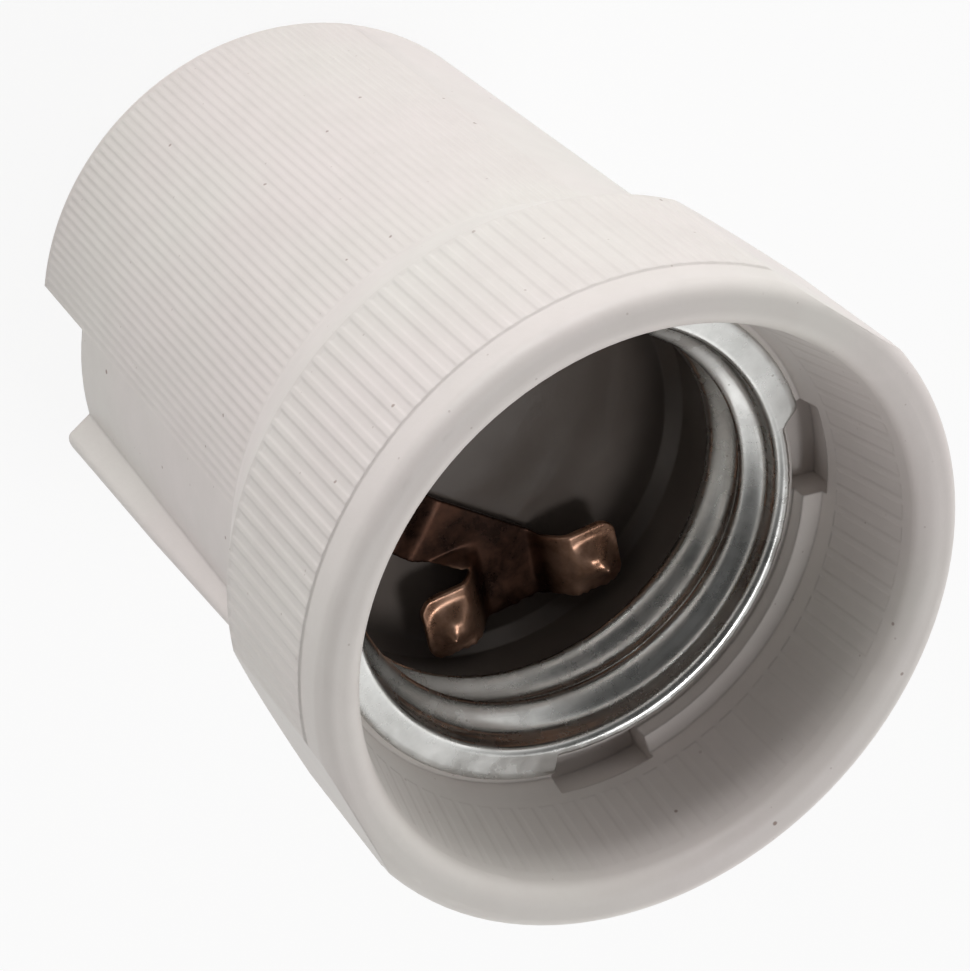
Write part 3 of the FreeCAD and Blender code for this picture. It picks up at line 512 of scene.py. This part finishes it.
def contact_leaf():
    """Stamped contact: worn edges, a rough-cut front, soft bends and pressed domes."""
    mesh = softened(leaf_blank())
    for vertex in mesh.vertices:
        place = vertex.co.copy()
        rough = noise.noise(place / CUT_GRAIN)
        rough *= eased((place.dot(FRONT) - ARM_FRONT + CUT_DEPTH) / CUT_FADE)
        wave = noise.noise(place / WARP_LENGTH + WARP_SEED)
        rise = WELL_FLOOR + leaf_height(place) + WARP * wave
        vertex.co = place + FRONT * CUT_ROUGH_MM * MM * rough + Vector((0.0, 0.0, rise))
    mesh.shade_smooth()
    return mesh


# ---------------------------------------------------------------- porcelain body

def worn_flute(place):
    """A point of the reeding drawn back towards the wall's own surface, as thick glaze does."""
    radius, height = hypot(place.x, place.y), place.z
    angle = atan2(place.y, place.x)
    on_flat = any(abs(place.x * cos(turn) + place.y * sin(turn) - FLAT_REACH) < HAIR * 2
                  for turn in (-FLAT_ANGLE, pi + FLAT_ANGLE))
    new_radius, new_height = radius, height
    if height < BARREL_TO and radius > BARREL_INSIDE:
        taper = (BARREL_RADIUS - BARREL_FOOT_RADIUS) * height / SHOULDER_LOW
        wall = BARREL_FOOT_RADIUS + taper
        if HAIR * 3 < wall - radius < FLUTE_LIMIT and height > BACK_ROUNDING - HAIR:
            new_radius = wall - (wall - radius) * FLUTE_SHARE
            if height < BACK_ROUNDING + NEAR_END:
                new_height = height + FLUTE_RAMP
            elif height > SHOULDER_LOW - NEAR_END:
                new_height = height - FLUTE_RAMP
    elif height < FLANGE_TO and radius > FLANGE_INSIDE and not on_flat:
        if HAIR < FLANGE_RADIUS - radius < FLUTE_LIMIT:
            new_radius = FLANGE_RADIUS - (FLANGE_RADIUS - radius) * FLUTE_SHARE
            if height < SHOULDER_HIGH - NEAR_END:
                slope = (SHOULDER_HIGH - SHOULDER_LOW) / (FLANGE_RADIUS - BARREL_RADIUS)
                new_height = height + (new_radius - radius) * slope
            elif height < SHOULDER_HIGH + NEAR_END:
                new_height = height + FLUTE_RAMP
    elif SKIRT_FROM < height < SKIRT_TO and radius < SKIRT_WITHIN:
        wall = SKIRT_RADIUS + (MOUTH_RADIUS - SKIRT_RADIUS) * (height - SEAT) / (RIM_TOP - SEAT)
        if HAIR < radius - wall < FLUTE_LIMIT:
            new_radius = wall + (radius - wall) * FLUTE_SHARE
    return Vector((new_radius * cos(angle), new_radius * sin(angle), new_height))


def porcelain_body():
    """The CAD body's mesh with its reeding worn as soft as the glazed one's."""
    mesh = bpy.data.objects["body"].data.copy()
    for vertex in mesh.vertices:
        vertex.co = worn_flute(vertex.co)
    mesh.update()
    return mesh


add_piece(porcelain_body(), "porcelain_body", FINISH["porcelain"], "body")
add_piece(screw_shell(), "shell_sheet", FINISH["plated_sheet"], "screw_shell")
add_piece(contact_leaf(), "contact_leaf", tarnish_and_shade_leaf(), "contact_spring")


# ---------------------------------------------------------------- floor, lights and camera

def floor():
    """Pale floor under the holder, near white to the camera, that keeps a faint shadow."""
    bpy.ops.mesh.primitive_plane_add(size=FLOOR_SIZE, location=(0, 0, FLOOR_HEIGHT))
    plane = bpy.context.object
    plane.name = "floor"
    g = Graph("floor")
    g.shader.inputs["Base Color"].default_value = FLOOR_COLOUR
    g.shader.inputs["Roughness"].default_value = FLOOR_ROUGHNESS
    glow = g.add("ShaderNodeEmission")
    glow.inputs["Color"].default_value = FLOOR_GLOW
    rays = g.add("ShaderNodeLightPath")
    seen = g.maths("MAXIMUM", rays.outputs["Is Camera Ray"], rays.outputs["Is Glossy Ray"])
    mix = g.add("ShaderNodeMixShader")
    g.join(g.maths("MULTIPLY", seen, FLOOR_GLOW_SHARE), mix.inputs[0])
    g.join(g.shader.outputs[0], mix.inputs[1])
    g.join(glow.outputs[0], mix.inputs[2])
    g.join(mix.outputs[0], g.tree.nodes["Material Output"].inputs["Surface"])
    plane.data.materials.append(g.material)


def lamp(name, place, size, power):
    data = bpy.data.lights.new(name, "AREA")
    data.shape = "RECTANGLE"
    data.size, data.size_y = size
    data.energy = power
    light = bpy.data.objects.new(name, data)
    scene.collection.objects.link(light)
    light.location = place
    light.rotation_euler = (LAMPS_AIM - Vector(place)).to_track_quat("-Z", "Y").to_euler()


def camera():
    data = bpy.data.cameras.new("camera")
    data.sensor_fit = "HORIZONTAL"
    data.sensor_width = CAMERA_SENSOR
    data.lens = CAMERA_LENS
    data.clip_start = CAMERA_NEAR
    view = bpy.data.objects.new("camera", data)
    scene.collection.objects.link(view)
    turn = Matrix((CAMERA_RIGHT, CAMERA_UP, CAMERA_BACK)).transposed().to_4x4()
    view.matrix_world = Matrix.Translation(CAMERA_PLACE) @ turn
    scene.camera = view


def world():
    """A white light tent that is dark over the mouth, where the photographer stands."""
    tent = bpy.data.worlds.new("tent")
    scene.world = tent
    tent.use_nodes = True
    tree = tent.node_tree
    glow = tree.nodes["Background"]
    place = tree.nodes.new("ShaderNodeTexCoord")
    towards = tree.nodes.new("ShaderNodeVectorMath")
    towards.operation = "DOT_PRODUCT"
    towards.inputs[1].default_value = TENT_DARK_SIDE.normalized()
    tree.links.new(place.outputs["Generated"], towards.inputs[0])
    level = tree.nodes.new("ShaderNodeMapRange")
    level.interpolation_type = "SMOOTHSTEP"
    for name, number in TENT_FALL:
        level.inputs[name].default_value = number
    tree.links.new(towards.outputs["Value"], level.inputs["Value"])
    tree.links.new(level.outputs["Result"], glow.inputs["Strength"])
    glow.inputs["Color"].default_value = TENT_WHITE


floor()
world()
for row in LAMPS:
    lamp(*row)
camera()
